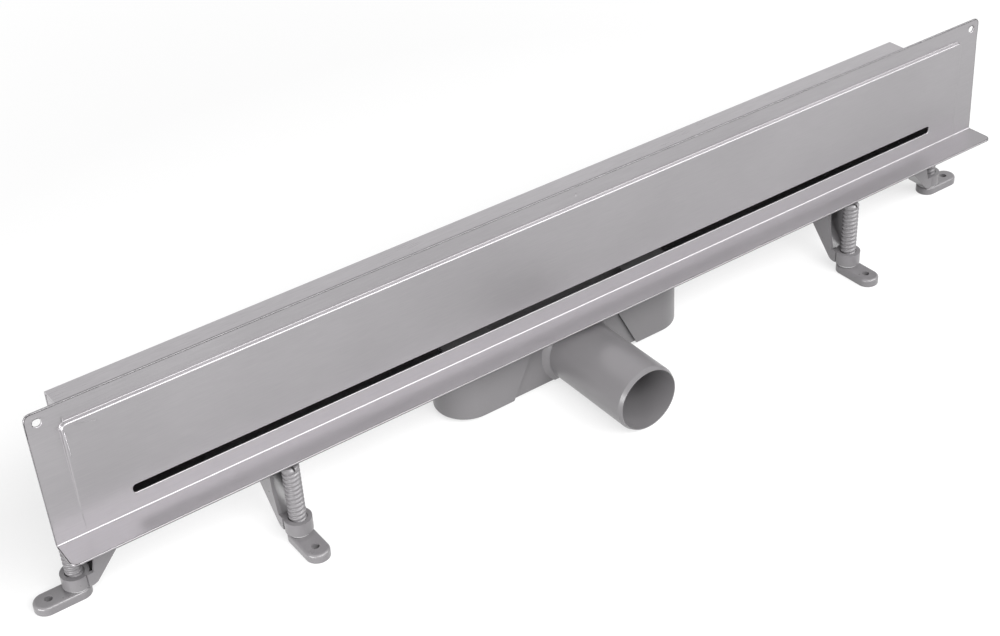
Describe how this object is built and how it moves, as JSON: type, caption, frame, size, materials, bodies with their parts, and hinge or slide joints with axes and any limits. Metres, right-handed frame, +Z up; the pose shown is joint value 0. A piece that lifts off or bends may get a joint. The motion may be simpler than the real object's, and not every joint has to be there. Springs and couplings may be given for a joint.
{
  "type": "linear wall drain",
  "caption": "Slotted wall drain for a shower: a folded front plate with a sheet channel behind it, a water trap with an outlet spigot below, and height-adjustable screw feet.",
  "frame": {"origin": "centre of the sealing flange's upper face", "axes": "+Z up out of the sealing flange, +X along the drain, -Y towards the room and the outlet"},
  "size_m": [0.834, 0.1388, 0.162],
  "materials": {
    "front_plate": "fine upright brushing, bright folded edges",
    "channel_sheet": "bright rolled sheet",
    "trap_plastic": "grey moulded plastic, soft sheen",
    "seal_plastic": "grey moulded plastic, soft sheen",
    "foot_plastic": "grey moulded plastic, glossy",
    "spindle": "grey moulded plastic screw, glossy",
    "washer": "light grey plastic",
    "gasket": "black sealing rubber",
    "nuts": "plain steel"
  },
  "bodies": {
    "channel": {"front_plate": "front_plate", "channel_shell": "channel_sheet", "end_plate_left": "channel_sheet", "end_plate_right": "channel_sheet", "outlet_neck": "channel_sheet", "trap_gasket": "gasket", "trap_body": "trap_plastic", "trap_nuts": "nuts", "dip_tube": "seal_plastic", "trap_cup": "seal_plastic", "bracket_nuts": "nuts", "bracket_front_left": "foot_plastic", "bracket_front_right": "foot_plastic", "bracket_end_left": "foot_plastic", "bracket_end_right": "foot_plastic"},
    "carrier_front_left": {"washer_front_left": "washer"},
    "spindle_front_left": {"spindle_front_left": "spindle"},
    "pad_front_left": {"pad_front_left": "foot_plastic"},
    "carrier_front_right": {"washer_front_right": "washer"},
    "spindle_front_right": {"spindle_front_right": "spindle"},
    "pad_front_right": {"pad_front_right": "foot_plastic"},
    "carrier_end_left": {"washer_end_left": "washer"},
    "spindle_end_left": {"spindle_end_left": "spindle"},
    "pad_end_left": {"pad_end_left": "foot_plastic"},
    "carrier_end_right": {"washer_end_right": "washer"},
    "spindle_end_right": {"spindle_end_right": "spindle"},
    "pad_end_right": {"pad_end_right": "foot_plastic"}
  },
  "joints": [
    {"name": "front_left_height", "type": "slide", "parent": "channel", "child": "carrier_front_left", "axis": [0, 0, -1], "range_m": [0, 0.04]},
    {"name": "front_left_screw", "type": "hinge", "parent": "carrier_front_left", "child": "spindle_front_left", "pos_m": [-0.249, -0.0065, 0], "axis": [0, 0, -1], "range_deg": [0, 4120]},
    {"name": "front_left_swivel", "type": "hinge", "parent": "carrier_front_left", "child": "pad_front_left", "pos_m": [-0.249, -0.0065, 0], "axis": [0, 0, 1], "continuous": true},
    {"name": "front_right_height", "type": "slide", "parent": "channel", "child": "carrier_front_right", "axis": [0, 0, -1], "range_m": [0, 0.04]},
    {"name": "front_right_screw", "type": "hinge", "parent": "carrier_front_right", "child": "spindle_front_right", "pos_m": [0.249, -0.0065, 0], "axis": [0, 0, -1], "range_deg": [0, 4120]},
    {"name": "front_right_swivel", "type": "hinge", "parent": "carrier_front_right", "child": "pad_front_right", "pos_m": [0.249, -0.0065, 0], "axis": [0, 0, 1], "continuous": true},
    {"name": "end_left_height", "type": "slide", "parent": "channel", "child": "carrier_end_left", "axis": [0, 0, -1], "range_m": [0, 0.04]},
    {"name": "end_left_screw", "type": "hinge", "parent": "carrier_end_left", "child": "spindle_end_left", "pos_m": [-0.3865, 0.038, 0], "axis": [0, 0, -1], "range_deg": [0, 4120]},
    {"name": "end_left_swivel", "type": "hinge", "parent": "carrier_end_left", "child": "pad_end_left", "pos_m": [-0.3865, 0.038, 0], "axis": [0, 0, 1], "continuous": true},
    {"name": "end_right_height", "type": "slide", "parent": "channel", "child": "carrier_end_right", "axis": [0, 0, -1], "range_m": [0, 0.04]},
    {"name": "end_right_screw", "type": "hinge", "parent": "carrier_end_right", "child": "spindle_end_right", "pos_m": [0.3865, 0.038, 0], "axis": [0, 0, -1], "range_deg": [0, 4120]},
    {"name": "end_right_swivel", "type": "hinge", "parent": "carrier_end_right", "child": "pad_end_right", "pos_m": [0.3865, 0.038, 0], "axis": [0, 0, 1], "continuous": true}
  ],
  "couplings": [
    {"joint": "front_left_screw", "follows": "front_left_height", "rad_per_m": 1795.2},
    {"joint": "front_right_screw", "follows": "front_right_height", "rad_per_m": 1795.2},
    {"joint": "end_left_screw", "follows": "end_left_height", "rad_per_m": 1795.2},
    {"joint": "end_right_screw", "follows": "end_right_height", "rad_per_m": 1795.2}
  ]
}
